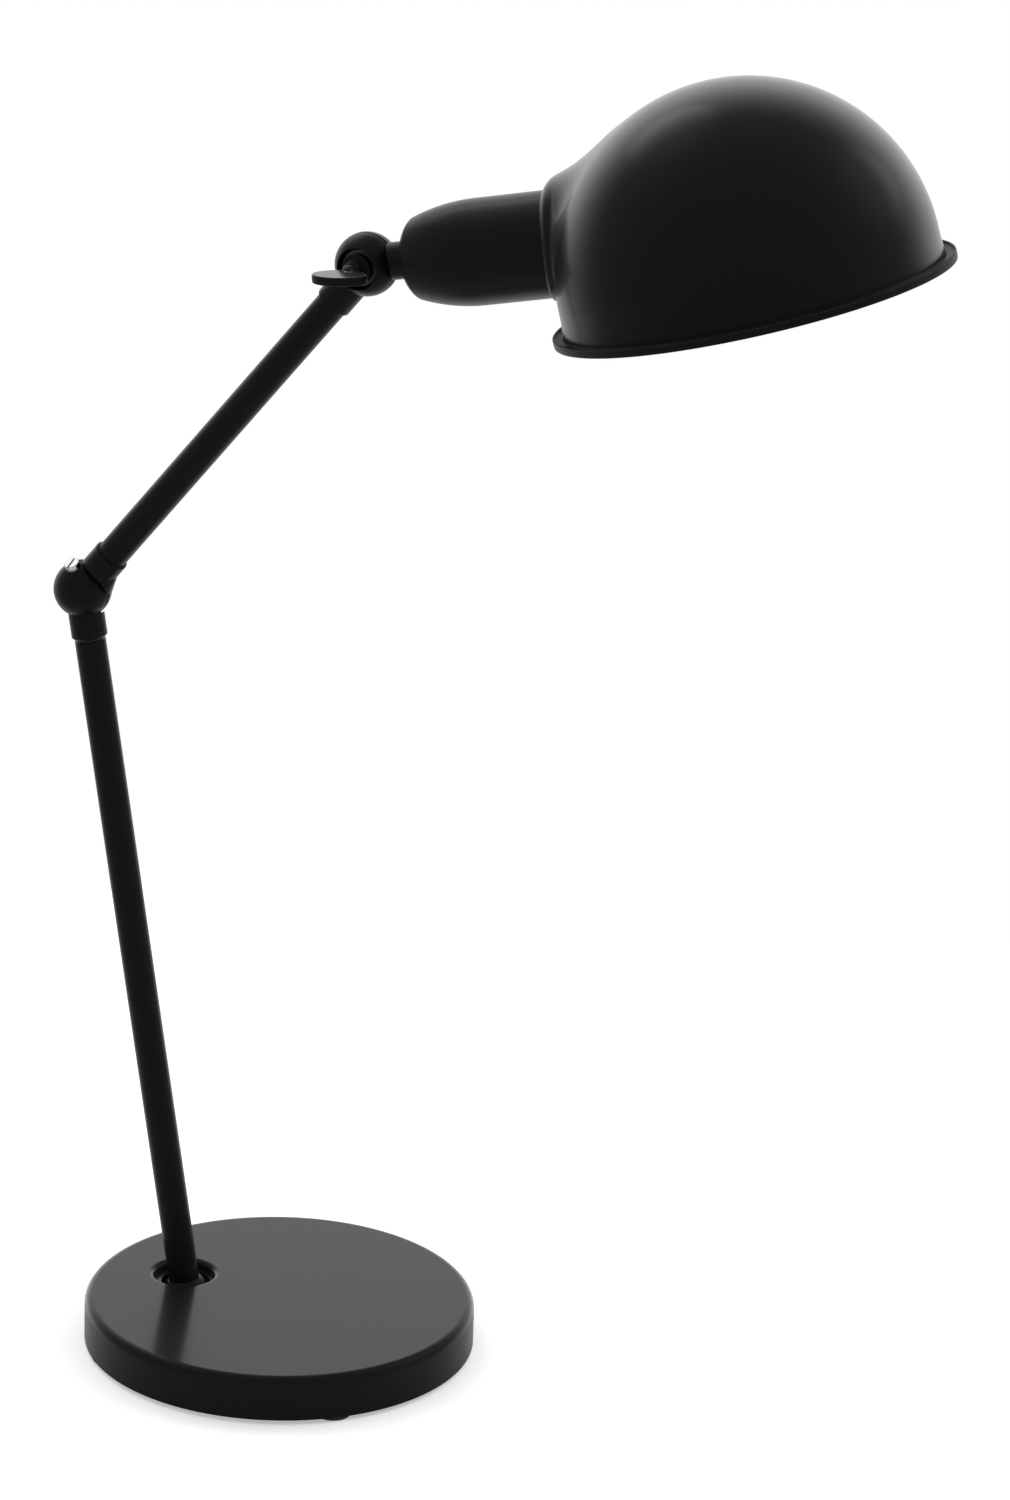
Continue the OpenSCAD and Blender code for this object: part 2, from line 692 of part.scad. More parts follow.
// The seam is cut round, as if by a large cylinder that stands upright in the head
module seam_cutter(t) translate([0, 0, seam_u + seam_bend_r]) rotate([0, -90 + seam_tilt, 0])
    cylinder(r = seam_bend_r - t, h = 4 * housing_d, center = true, $fn = 2 * fine);

// Filled dome with its skirt, shrunk by t all round
module dome(t) dome_frame() {
    intersection() {
        sphere(r = dome_r - t, $fn = fine);
        translate([0, 0, -cut]) cylinder(r = dome_r, h = dome_r + 2 * cut);
    }
    translate([0, 0, -skirt_drop]) cylinder(r = dome_r - t, h = skirt_drop, $fn = fine);
}

module shade() color(black) {
    difference() {
        union() {
            head_frame() intersection() {
                union() {
                    translate([0, 0, seam_u - boss_len])
                        cylinder(r = collar_r, h = dome_u - seam_u + boss_len);
                    translate([-bulge_up, 0, bulge_u]) sphere(r = bulge_r);
                }
                seam_cutter(0);
            }
            dome(0);
        }
        head_frame() {
            translate([0, 0, seam_u - 2 * boss_len]) cylinder(r = collar_r - shade_t, h = dome_u - seam_u);
            intersection() {
                translate([-bulge_up, 0, bulge_u]) sphere(r = bulge_r - shade_t);
                seam_cutter(shade_t);
            }
        }
        dome(shade_t);
        dome_frame() translate([0, 0, -skirt_drop - cut])
            cylinder(r = dome_r - shade_t, h = 2 * cut, $fn = fine);
    }
    // Inner flange between the housing's end and the clamp ring
    head_frame() ring(collar_r - shade_t / 2, skirt_r + fix_gap, flange_u, flange_u + shade_t);
    // Flat step and turned-down edge of the rim
    dome_frame() rotate_extrude($fn = fine) polygon([[dome_r, -skirt_drop], [rim_r, -flange_drop],
        [rim_r, -rim_drop], [rim_r - shade_t, -rim_drop], [rim_r - shade_t, -flange_drop - shade_t],
        [dome_r - shade_t, -skirt_drop - shade_t], [dome_r - shade_t, -skirt_drop + shade_t / 2],
        [dome_r, -skirt_drop + shade_t / 2]]);
}

base_cover();
cover_posts();
base_weight();
bottom_plate();
plate_screws();
rubber_feet();
cord_bush();
cord_bush_nut();
hinge_bracket();
bracket_screws();
hinge_bolt();
hinge_nut();
hinge_washers();
arm_foot();
lower_tube();
lower_tube_bush();
elbow_lower_nipple();
elbow_lower_knuckle();
elbow_friction_washer();
elbow_pivot_screw();
elbow_spring_washer();
elbow_stop_screw();
elbow_upper_knuckle();
elbow_upper_nipple();
upper_tube();
upper_tube_bushes();
wrist_nipple();
wrist_arm_knuckle();
wrist_friction_washer();
wrist_pressure_washer();
wing_screw();
wrist_head_knuckle();
head_nipple();
housing_locknut();
socket_housing();
lampholder_cap();
lampholder_body();
lampholder_insert();
screw_shell();
centre_contact();
terminal_screws();
shade_ring();
shade();
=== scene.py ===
# Adjustable table lamp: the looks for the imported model
import json
import math
import bpy
import bmesh
from mathutils import Matrix, Vector


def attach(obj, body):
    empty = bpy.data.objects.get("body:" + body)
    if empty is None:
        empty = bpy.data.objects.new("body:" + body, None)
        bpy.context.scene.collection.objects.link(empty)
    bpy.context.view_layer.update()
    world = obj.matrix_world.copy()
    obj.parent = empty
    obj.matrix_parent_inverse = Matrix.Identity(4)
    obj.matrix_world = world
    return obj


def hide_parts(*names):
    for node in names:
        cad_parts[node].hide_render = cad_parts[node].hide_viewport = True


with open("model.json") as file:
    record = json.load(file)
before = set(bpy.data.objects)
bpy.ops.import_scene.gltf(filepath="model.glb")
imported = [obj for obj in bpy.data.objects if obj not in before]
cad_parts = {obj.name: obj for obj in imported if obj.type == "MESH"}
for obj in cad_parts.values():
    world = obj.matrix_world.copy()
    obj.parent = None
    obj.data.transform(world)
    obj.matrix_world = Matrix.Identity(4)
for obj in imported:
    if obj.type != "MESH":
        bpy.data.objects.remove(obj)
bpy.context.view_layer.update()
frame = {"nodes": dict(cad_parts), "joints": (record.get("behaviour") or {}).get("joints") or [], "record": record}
cadNodes = frame["nodes"]
mm = 0.001                    # shapes are in millimetres until newPiece() makes them metres
jointPlace = {joint["name"]: Vector(joint["pos_m"]) * 1000 for joint in frame["joints"]}
print("Frame loaded:", len(cadNodes), "nodes")

# Helpers for objects, meshes and shader nodes


def addObject(name, data):
    made = bpy.data.objects.new(name, data)
    bpy.context.scene.collection.objects.link(made)
    return made


def toMesh(shape, name):
    mesh = bpy.data.meshes.new(name)
    shape.to_mesh(mesh)
    shape.free()
    return mesh


def feed(tree, socket, value):
    # Sets a socket to a number, or links another socket to it
    if isinstance(value, (int, float)):
        socket.default_value = value
    else:
        tree.links.new(value, socket)


def mathNode(tree, kind, first, second=0.0):
    node = tree.nodes.new("ShaderNodeMath")
    node.operation = kind
    feed(tree, node.inputs[0], first)
    feed(tree, node.inputs[1], second)
    return node.outputs[0]


# Camera, at the photograph's angle

shot = {
    "place": (1.1681, -2.2987, 1.2262),
    "forward": (-0.39547, 0.85108, -0.34535),
    "up": (-0.14553, 0.31319, 0.93847),
    "roll": 1.84,              # degrees, counter-clockwise
    "focalPixels": 6492.9,     # for a frame 1500 pixels high
    "framePixels": 1500,
    "sensor": 36,
}


def addCamera():
    forward = Vector(shot["forward"]).normalized()
    side = forward.cross(Vector(shot["up"])).normalized()
    above = side.cross(forward)
    turn = math.radians(shot["roll"])
    sideTurned = side * math.cos(turn) + above * math.sin(turn)
    aboveTurned = above * math.cos(turn) - side * math.sin(turn)
    data = bpy.data.cameras.new("photoCamera")
    data.sensor_width = shot["sensor"]
    data.lens = shot["focalPixels"] / shot["framePixels"] * data.sensor_width
    camera = addObject("photoCamera", data)
    axes = Matrix((sideTurned, aboveTurned, -forward)).transposed().to_4x4()
    camera.matrix_world = Matrix.Translation(Vector(shot["place"])) @ axes
    bpy.context.scene.camera = camera


# Floor, room and lamps

studio = {
    "floorColor": (0.86, 0.86, 0.86, 1),
    "floorGlow": 0.4,                # added for what the camera and reflections see
    "floorRadius": 0.5,
    "floorSides": 96,
    "floorPlace": (0.05, 0.1, 0),
    "paleSide": (-0.42, 0.9, 0.35),  # the room lights the lamp from this side, and less from the other
    "paleSpan": (-0.45, 0.3),
    "paleHeight": (-0.2, 0.12),      # and less from below
    "paleLight": 1.0,
    "darkLight": 0.34,
    "lampShine": 0.3,                # how far the lamps show as highlights
}
lamps = {
    # place, aim, size and power of each
    "keyLight": ((-1.5, 0.7, 2.3), (0.05, 0, 0.35), 1.6, 9),
    "rimLight": ((1.5, 1.3, 1.7), (0.1, 0, 0.4), 1.4, 8),
}


def seenDirectly(tree):
    # 1 for camera, transmission and glossy rays
    path = tree.nodes.new("ShaderNodeLightPath")
    seen = mathNode(tree, "MAXIMUM", path.outputs["Is Camera Ray"], path.outputs["Is Transmission Ray"])
    return mathNode(tree, "MAXIMUM", seen, path.outputs["Is Glossy Ray"])


def addRoom():
    world = bpy.data.worlds.new("softRoom")
    bpy.context.scene.world = world
    world.use_nodes = True
    tree = world.node_tree
    background = tree.nodes["Background"]
    background.inputs["Color"].default_value = (1, 1, 1, 1)
    coordinate = tree.nodes.new("ShaderNodeTexCoord")
    side = tree.nodes.new("ShaderNodeVectorMath")
    side.operation = "DOT_PRODUCT"
    side.inputs[1].default_value = Vector(studio["paleSide"]).normalized()
    parts = tree.nodes.new("ShaderNodeSeparateXYZ")
    tree.links.new(coordinate.outputs["Generated"], side.inputs[0])
    tree.links.new(coordinate.outputs["Generated"], parts.inputs[0])

    def fade(source, span, low, high):
        node = tree.nodes.new("ShaderNodeMapRange")
        node.interpolation_type = "SMOOTHSTEP"
        for name, value in zip(("From Min", "From Max", "To Min", "To Max"), (*span, low, high)):
            feed(tree, node.inputs[name], value)
        tree.links.new(source, node.inputs["Value"])
        return node.outputs["Result"]

    pale = fade(side.outputs["Value"], studio["paleSpan"], studio["darkLight"], studio["paleLight"])
    room = fade(parts.outputs["Z"], studio["paleHeight"], studio["darkLight"], pale)
    tree.links.new(mathNode(tree, "MAXIMUM", room, seenDirectly(tree)), background.inputs["Strength"])


def addFloor():
    material = bpy.data.materials.new("paleFloor")
    material.use_nodes = True
    tree = material.node_tree
    tree.nodes.remove(tree.nodes["Principled BSDF"])
    diffuse = tree.nodes.new("ShaderNodeBsdfDiffuse")
    diffuse.inputs["Color"].default_value = studio["floorColor"]
    glow = tree.nodes.new("ShaderNodeEmission")
    amount = mathNode(tree, "MULTIPLY", seenDirectly(tree), studio["floorGlow"])
    both = tree.nodes.new("ShaderNodeAddShader")
    tree.links.new(amount, glow.inputs["Strength"])
    tree.links.new(diffuse.outputs[0], both.inputs[0])
    tree.links.new(glow.outputs[0], both.inputs[1])
    tree.links.new(both.outputs[0], tree.nodes["Material Output"].inputs["Surface"])
    shape = bmesh.new()
    bmesh.ops.create_circle(shape, cap_ends=True, segments=studio["floorSides"], radius=studio["floorRadius"])
    bmesh.ops.translate(shape, verts=shape.verts, vec=studio["floorPlace"])
    floor = addObject("floor", toMesh(shape, "floor"))
    floor.data.materials.append(material)


def addLamps():
    for name, (place, aim, size, power) in lamps.items():
        data = bpy.data.lights.new(name, "AREA")
        data.shape = "DISK"
        data.size = size
        data.energy = power
        data.specular_factor = studio["lampShine"]
        light = addObject(name, data)
        light.rotation_euler = (Vector(aim) - Vector(place)).to_track_quat("-Z", "Y").to_euler()
        light.location = place


addCamera()
addRoom()
addFloor()
addLamps()
bpy.context.scene.view_settings.view_transform = "Standard"
print("Camera, floor and lights set")

# Finishes

texture = {
    # scale and detail of each noise; the grain's scale follows from its size in the finish
    "grainDetail": 2,
    "swell": (90, 1),
    "patches": (22, 3),
    "specks": (900, 1),
    "grainGloss": 0.6,             # share of the grain in the change of gloss
    "speckStrength": 2,
    "dustColor": (0.3, 0.29, 0.27, 1),
    "edgeSamples": 6,
}
coatingNumbers = ("Roughness", "Grain Size", "Grain Height", "Swell", "Gloss Change", "Color Change", "Dust")


def makeCoating():
    # Sprayed or cast skin: fine grain, a soft swell, small changes of gloss and a little dust on top
    group = bpy.data.node_groups.new("coating", "ShaderNodeTree")

    def addSocket(name, kind, inOut):
        group.interface.new_socket(name=name, in_out=inOut, socket_type=kind)

    addSocket("Color", "NodeSocketColor", "INPUT")
    for name in coatingNumbers:
        addSocket(name, "NodeSocketFloat", "INPUT")
    addSocket("Color", "NodeSocketColor", "OUTPUT")
    addSocket("Roughness", "NodeSocketFloat", "OUTPUT")
    addSocket("Height", "NodeSocketFloat", "OUTPUT")
    nodes, links = group.nodes, group.links
    given = nodes.new("NodeGroupInput")
    result = nodes.new("NodeGroupOutput")
    coordinate = nodes.new("ShaderNodeTexCoord")

    def calc(kind, first, second):
        return mathNode(group, kind, first, second)

    def noise(scale, detail):
        node = nodes.new("ShaderNodeTexNoise")
        node.inputs["Detail"].default_value = detail
        feed(group, node.inputs["Scale"], scale)
        links.new(coordinate.outputs["Object"], node.inputs["Vector"])
        return calc("SUBTRACT", node.outputs["Fac"], 0.5)

    # Grain Size is in millimetres
    grain = noise(calc("DIVIDE", 1000, given.outputs["Grain Size"]), texture["grainDetail"])
    patches = noise(*texture["patches"])
    height = calc("ADD", calc("MULTIPLY", grain, given.outputs["Grain Height"]),
                  calc("MULTIPLY", noise(*texture["swell"]), given.outputs["Swell"]))
    gloss = calc("ADD", patches, calc("MULTIPLY", grain, texture["grainGloss"]))
    gloss = calc("MULTIPLY", gloss, given.outputs["Gloss Change"])
    shift = calc("MULTIPLY", calc("ADD", patches, grain), given.outputs["Color Change"])
    tone = nodes.new("ShaderNodeVectorMath")
    tone.operation = "SCALE"
    links.new(given.outputs["Color"], tone.inputs[0])
    links.new(calc("ADD", 1, shift), tone.inputs["Scale"])
    # Dust settles on what faces up
    geometry = nodes.new("ShaderNodeNewGeometry")
    parts = nodes.new("ShaderNodeSeparateXYZ")
    links.new(geometry.outputs["Normal"], parts.inputs[0])
    upward = calc("MAXIMUM", parts.outputs["Z"], 0)
    specks = calc("MULTIPLY", calc("MAXIMUM", noise(*texture["specks"]), 0), texture["speckStrength"])
    dusted = nodes.new("ShaderNodeMix")
    dusted.data_type = "RGBA"
    clean, dusty = [socket for socket in dusted.inputs if socket.type == "RGBA"]
    mixed = next(socket for socket in dusted.outputs if socket.type == "RGBA")
    dusty.default_value = texture["dustColor"]
    dust = calc("MULTIPLY", calc("MULTIPLY", upward, specks), given.outputs["Dust"])
    links.new(dust, dusted.inputs["Factor"])
    links.new(tone.outputs[0], clean)
    links.new(mixed, result.inputs["Color"])
    links.new(calc("ADD", given.outputs["Roughness"], gloss), result.inputs["Roughness"])
    links.new(height, result.inputs["Height"])
    return group


coatingGroup = makeCoating()
glancing = {
    "steps": ((0.36, 0.0), (0.7, 1.0)),   # how far turned away, and the clear skin there
    # Painted sheen: faces turned up past this slope have the whole skin, upright faces only their share
    "paintedSheenSlope": 0.6,                       # above this slope a face has the whole skin
}


def addGlance(tree, shader, amount, paintedSideShare):
    # A clear skin that shows where it is seen at a low angle. Upright faces keep only a share of it: painted
    # sheen, brighter on tops than on sides.
    facing = tree.nodes.new("ShaderNodeLayerWeight")
    skin = tree.nodes.new("ShaderNodeValToRGB")
    skin.color_ramp.interpolation = "EASE"
    for element, (place, weight) in zip(skin.color_ramp.elements, glancing["steps"]):
        element.position = place
        element.color = (weight * amount, weight * amount, weight * amount, 1)
    tree.links.new(facing.outputs["Facing"], skin.inputs["Fac"])
    geometry = tree.nodes.new("ShaderNodeNewGeometry")
    parts = tree.nodes.new("ShaderNodeSeparateXYZ")
    share = tree.nodes.new("ShaderNodeMapRange")
    share.inputs["From Max"].default_value = glancing["paintedSheenSlope"]
    share.inputs["To Min"].default_value = paintedSideShare
    tree.links.new(geometry.outputs["Normal"], parts.inputs[0])
    tree.links.new(parts.outputs["Z"], share.inputs["Value"])
    weight = mathNode(tree, "MULTIPLY", skin.outputs["Color"], share.outputs["Result"])
    tree.links.new(weight, shader.inputs["Coat Weight"])


def finish(name, color, roughness, metallic=0.0, specular=0.5, coat=0.0, grain=0.4, grainHeight=0.3,
           swell=0.1, glossChange=0.05, colorChange=0.15, dust=0.0, depth=0.02, edge=0.3,
           glance=0.0, paintedSideSheen=1.0, glanceRoughness=0.2):
    # depth is the relief in millimetres, edge how far its crisp edges are eased
    material = bpy.data.materials.new(name)
    material.use_nodes = True
    tree = material.node_tree
    shader = tree.nodes["Principled BSDF"]
    shader.inputs["Metallic"].default_value = metallic
    shader.inputs["Specular IOR Level"].default_value = specular
    shader.inputs["Coat Weight"].default_value = coat
    coating = tree.nodes.new("ShaderNodeGroup")
    coating.node_tree = coatingGroup
    coating.inputs["Color"].default_value = (*color, 1)
    numbers = (roughness, grain, grainHeight, swell, glossChange, colorChange, dust)
    for socket, value in zip(coatingNumbers, numbers):
        coating.inputs[socket].default_value = value
    bump = tree.nodes.new("ShaderNodeBump")
    bump.inputs["Distance"].default_value = depth * mm
    tree.links.new(coating.outputs["Color"], shader.inputs["Base Color"])
    tree.links.new(coating.outputs["Roughness"], shader.inputs["Roughness"])
    tree.links.new(coating.outputs["Height"], bump.inputs["Height"])
    if edge:
        eased = tree.nodes.new("ShaderNodeBevel")
        eased.samples = texture["edgeSamples"]
        eased.inputs["Radius"].default_value = edge * mm
        tree.links.new(eased.outputs[0], bump.inputs["Normal"])
    tree.links.new(bump.outputs[0], shader.inputs["Normal"])
    # The clear skin paints a sheen that is brighter on tops than on upright faces
    if glance:
        shader.inputs["Coat Roughness"].default_value = glanceRoughness
        addGlance(tree, shader, glance, paintedSideSheen)
    return material


paint = {"color": (0.0072, 0.0074, 0.0078), "roughness": 0.36, "specular": 0.05, "grain": 0.35, "dust": 0.003}
# The last share in each finish is the painted sheen left on upright faces, less than on the tops
blackPaint = finish("blackPaint", **paint, edge=0.12, glance=0.45, paintedSideSheen=0.3)
blackShade = finish("blackShadePaint", **paint, edge=0, glance=0.9, paintedSideSheen=0.4)
blackLid = finish("blackLidPaint", **paint, edge=0, glance=0.96, paintedSideSheen=0.05, glanceRoughness=0.14)
# The same paint without the clear skin: painted shade for the rim's groove
grooveShadeFinish = finish("paintedGrooveShade", **paint, edge=0)
whitePaint = finish("whitePaint", (0.78, 0.78, 0.76), 0.35, edge=0, grain=0.5)
blackPlate = finish("blackPlate", (0.01, 0.01, 0.011), 0.5, grain=0.8)
slotFinish = {
    "black_paint": blackPaint,
    "zinc_steel": finish("zincSteel", (0.56, 0.57, 0.58), 0.32, metallic=1.0, grain=0.9, glossChange=0.2,
                         colorChange=0.2),
    "bright_steel": finish("brightSteel", (0.42, 0.42, 0.41), 0.24, metallic=1.0, grain=0.5,
                           glossChange=0.08, colorChange=0.05, edge=0.2),
    "black_plate": blackPlate,
    "grey_iron": finish("castIron", (0.045, 0.045, 0.047), 0.7, grain=1.6, depth=0.12, colorChange=0.5),
    "black_rubber": finish("blackRubber", (0.012, 0.012, 0.012), 0.72, grain=0.6, specular=0.3, edge=0.5),
    "black_plastic": finish("blackPlastic", (0.011, 0.011, 0.012), 0.42, grain=0.7, specular=0.4),
    "fibre": finish("redFibre", (0.2, 0.07, 0.035), 0.8, grain=0.5, colorChange=0.6, depth=0.05),
    "white_ceramic": finish("porcelain", (0.8, 0.78, 0.73), 0.12, grain=3.0, swell=0.4, colorChange=0.05,
                            coat=0.3),
    "brass": finish("brass", (0.72, 0.52, 0.24), 0.28, metallic=1.0, grain=0.7, glossChange=0.15,
                    colorChange=0.2),
}
slotOf = {part["node"]: part["material_slot"] for part in frame["record"]["subparts"]}
# Steel parts set in the gaps between their neighbours take the black plate finish: painted shade for the dark gaps
paintedGapShade = ("elbow_lower_nipple", "lower_tube_bush", "wrist_pressure_washer")
for nodeName, node in cadNodes.items():
    node.data.materials.clear()
    node.data.materials.append(blackPlate if nodeName in paintedGapShade else slotFinish[slotOf[nodeName]])
print("Finishes set")

# Shared shaping

lowerArmLean = -9.77          # at rest, in degrees forward
headLean = 75.86


def frameAt(place, lean):
    # A piece's own frame: Z along it, leaning forward by that many degrees
    return Matrix.Translation(place) @ Matrix.Rotation(math.radians(lean), 4, "Y")


def softProfile(corners, steps=5, guard=0.2):
    # Corners are (radius, height, fillet). A fillet becomes an arc with a guard point on each side
    points = []
    for place, (radius, height, fillet) in enumerate(corners):
        here = Vector((radius, height))
        if fillet == 0:
            points.append(here)
            continue
        before = (Vector(corners[place - 1][:2]) - here).normalized()
        after = (Vector(corners[place + 1][:2]) - here).normalized()
        half = before.angle(after) / 2
        reach = fillet / math.tan(half)
        center = here + (before + after).normalized() * fillet / math.sin(half)
        start, end = here + before * reach, here + after * reach
        points.append(start + before * guard)
        for step in range(steps + 1):
            direction = (start - center).normalized().slerp((end - center).normalized(), step / steps)
            points.append(center + direction * fillet)
        points.append(end + after * guard)
    return points


def spinProfile(shape, points, steps, axis="Z"):
    # Turns (radius, height) points about Z, or about Y with height along Y
    upright = axis == "Z"
    verts = [shape.verts.new((point.x, 0, point.y) if upright else (point.x, point.y, 0)) for point in points]
    edges = [shape.edges.new(pair) for pair in zip(verts, verts[1:])]
    bmesh.ops.spin(shape, geom=verts + edges, cent=(0, 0, 0), axis=(0, 0, 1) if upright else (0, 1, 0),
                   dvec=(0, 0, 0), angle=math.tau, steps=steps, use_merge=True)
    bmesh.ops.remove_doubles(shape, verts=shape.verts, dist=0.001)
    bmesh.ops.recalc_face_normals(shape, faces=shape.faces)


def join(shape, part):
    mesh = toMesh(part, "part")
    shape.from_mesh(mesh)
    bpy.data.meshes.remove(mesh)


def newPiece(name, shape, body, nodes, finishes, sharpAngle=38):
    # From a bmesh in millimetres to a finished piece in metres
    bmesh.ops.scale(shape, verts=shape.verts, vec=(mm, mm, mm))
    mesh = toMesh(shape, name)
    mesh.shade_smooth()
    mesh.set_sharp_from_angle(angle=math.radians(sharpAngle))
    for material in finishes:
        mesh.materials.append(material)
    piece = addObject(name, mesh)
    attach(piece, body)
    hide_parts(*nodes)
    return piece


def carve(shape, cutter):
    # Boolean difference by modifier on throwaway objects
    body = addObject("carved", toMesh(shape, "carved"))
    knife = addObject("knife", toMesh(cutter, "knife"))
    cut = body.modifiers.new("cut", "BOOLEAN")
    cut.operation = "DIFFERENCE"
    cut.solver = "EXACT"
    cut.object = knife
    bpy.context.view_layer.update()
    result = bmesh.new()
    result.from_object(body, bpy.context.evaluated_depsgraph_get())
    for made in (body, knife):
        mesh = made.data
        bpy.data.objects.remove(made)
        bpy.data.meshes.remove(mesh)
    return result


# Shade: a dome with a blended collar boss and a grooved rim

shade = {
    "domeRadius": 77.4,
    "domeAlong": 169.8,        # from the wrist, along the housing
    "domeBelow": 19.4,
    "domeTilt": 2.27,
    "bossRadius": 25.5,
    "bossRise": 2.0,
    "bossFrom": 92.0,
    "bossFlare": 0.18,
    "bossEnd": 150.0,
    "seamAlong": 87.2,
    "seamLean": 0.07,
    "seamBend": 0.0093,
    "collarRadius": 23.05,
    "leastRound": 0.3,         # of the boss's edge at the seam
    "collarLip": ((0, 22.7), (0.15, 22.35), (0.5, 22.15), (3, 22.1)),   # inset and radius
    "blendTop": 10.0,
    "blendSide": 6.0,
    "blendLow": 1.2,
    "blendReach": 8.0,
    "blendEnd": (125.0, 165.0),   # the blend fades out along the dome
    "leastBlend": 0.02,
    "heart": 125.0,            # the rays that find the skin start here on the axis
    "rays": (5.0, 170.0),      # shortest and longest
    "halvings": 26,
    "ballRadius": 100.0,       # of the mesh before it settles on the skin
    "columns": 168,
    "ringStep": (0.28, 1.07, 1.25),   # first step in degrees, growth, largest
    "lastStep": 0.6,           # the last ring keeps this share of a step off the pole
    "wallDown": -7.6,
    "wallFlare": 0.0078,       # below its middle the wall opens a little
    "cutNear": 0.25,           # a ring nearer than this to the cut goes into it
    "cutMerge": 0.3,
    # radius and height of each ring of the rim
    "groove": ((77.95, -8.9), (78.05, -9.8), (78.3, -10.2), (78.7, -10.3), (80.7, -10.3), (81.1, -10.2),
               (81.35, -9.95), (81.42, -9.6)),
    "lip": ((81.48, -9.3), (81.62, -9.12), (81.85, -9.04), (82.12, -9.1), (82.33, -9.3), (82.4, -9.65),
            (82.4, -12.1), (82.3, -12.5), (82.0, -12.75), (81.6, -12.8)),
    "sheet": 1.0,
}


def seamPlace(across, above):
    return shade["seamAlong"] + shade["seamLean"] * above + shade["seamBend"] * across ** 2


def domeDistance(along, across, above):
    tilt = math.radians(shade["domeTilt"])
    forward, up = along - shade["domeAlong"], above + shade["domeBelow"]
    level = forward * math.cos(tilt) + up * math.sin(tilt)
    up = up * math.cos(tilt) - forward * math.sin(tilt)
    return math.hypot(level, across, max(up, 0)) - shade["domeRadius"] - shade["wallFlare"] * min(up, 0) ** 2


def bossDistance(along, across, above, upness):
    flare = shade["bossFlare"] * (along - shade["bossFrom"])
    side = math.hypot(across, above - shade["bossRise"] - flare) - shade["bossRadius"] - flare
    front = seamPlace(across, above) - along
    outline = shade["bossRise"] * upness + math.sqrt(
        shade["bossRadius"] ** 2 - shade["bossRise"] ** 2 * (1 - upness ** 2))
    edge = max(outline - shade["collarRadius"], shade["leastRound"])
    inside = min(max(side, front) + edge, 0)
    gap = inside + math.hypot(max(side + edge, 0), max(front + edge, 0)) - edge
    return max(gap, along - shade["bossEnd"])


def skinGap(along, across, above):
    # Distance to the skin, below zero inside it: dome and boss with a blend between them
    upness = above / max(math.hypot(across, above), 0.001)
    domeGap = domeDistance(along, across, above)
    bossGap = bossDistance(along, across, above, upness)
    other = shade["blendTop"] if upness > 0 else shade["blendLow"]
    blend = shade["blendSide"] + (other - shade["blendSide"]) * abs(upness)
    start, end = shade["blendEnd"]
    fromSeam = (along - seamPlace(across, above)) / shade["blendReach"]
    blend *= max(min(fromSeam, (end - along) / (end - start), 1), shade["leastBlend"])
    mix = min(max(0.5 + 0.5 * (bossGap - domeGap) / blend, 0), 1)
    return bossGap * (1 - mix) + domeGap * mix - blend * mix * (1 - mix)


def settleOnSkin(vert, firstAngle):
    # The vert comes from a ball of rays: its polar angle is remapped to start at the seam
    direction = vert.co.normalized()
    polar = math.acos(max(-1, min(1, -direction.z)))
    flat = Vector((-direction.x, direction.y))
    upness, sideness = flat.normalized() if flat.length > 1e-6 else (1.0, 0.0)
    edgeAbove, edgeAcross = upness * shade["collarRadius"], sideness * shade["collarRadius"]
    seam = seamPlace(edgeAcross, edgeAbove)
    start = math.atan2(shade["collarRadius"], shade["heart"] - seam)
    share = (polar - firstAngle) / (math.pi - firstAngle)
    if share < 1e-5:
        vert.co = (-edgeAbove, edgeAcross, seam)
        return
    angle = start + share * (math.pi - start)
    outward, onward = math.sin(angle), math.cos(angle)
    near, far = shade["rays"]
    for _ in range(shade["halvings"]):
        reach = (near + far) / 2
        gap = skinGap(shade["heart"] - reach * onward, reach * outward * sideness, reach * outward * upness)
        near, far = (reach, far) if gap < 0 else (near, reach)
    vert.co = (-near * outward * upness, near * outward * sideness, shade["heart"] - near * onward)


def pullLoop(shape, edges, place):
    # Extrudes a boundary loop and puts its new verts where place() says
    made = bmesh.ops.extrude_edge_only(shape, edges=edges)["geom"]
    verts = {item for item in made if isinstance(item, bmesh.types.BMVert)}
    for vert in verts:
        vert.co = place(vert.co)
    return [item for item in made if isinstance(item, bmesh.types.BMEdge)
            and item.verts[0] in verts and item.verts[1] in verts]


def ringAngles(firstAngle):
    step, growth, largest = shade["ringStep"]
    angle, angles = firstAngle, []
    while angle < math.pi - math.radians(largest) * shade["lastStep"]:
        angles.append(angle)
        angle += math.radians(step)
        step = min(step * growth, largest)
    return angles + [math.pi]


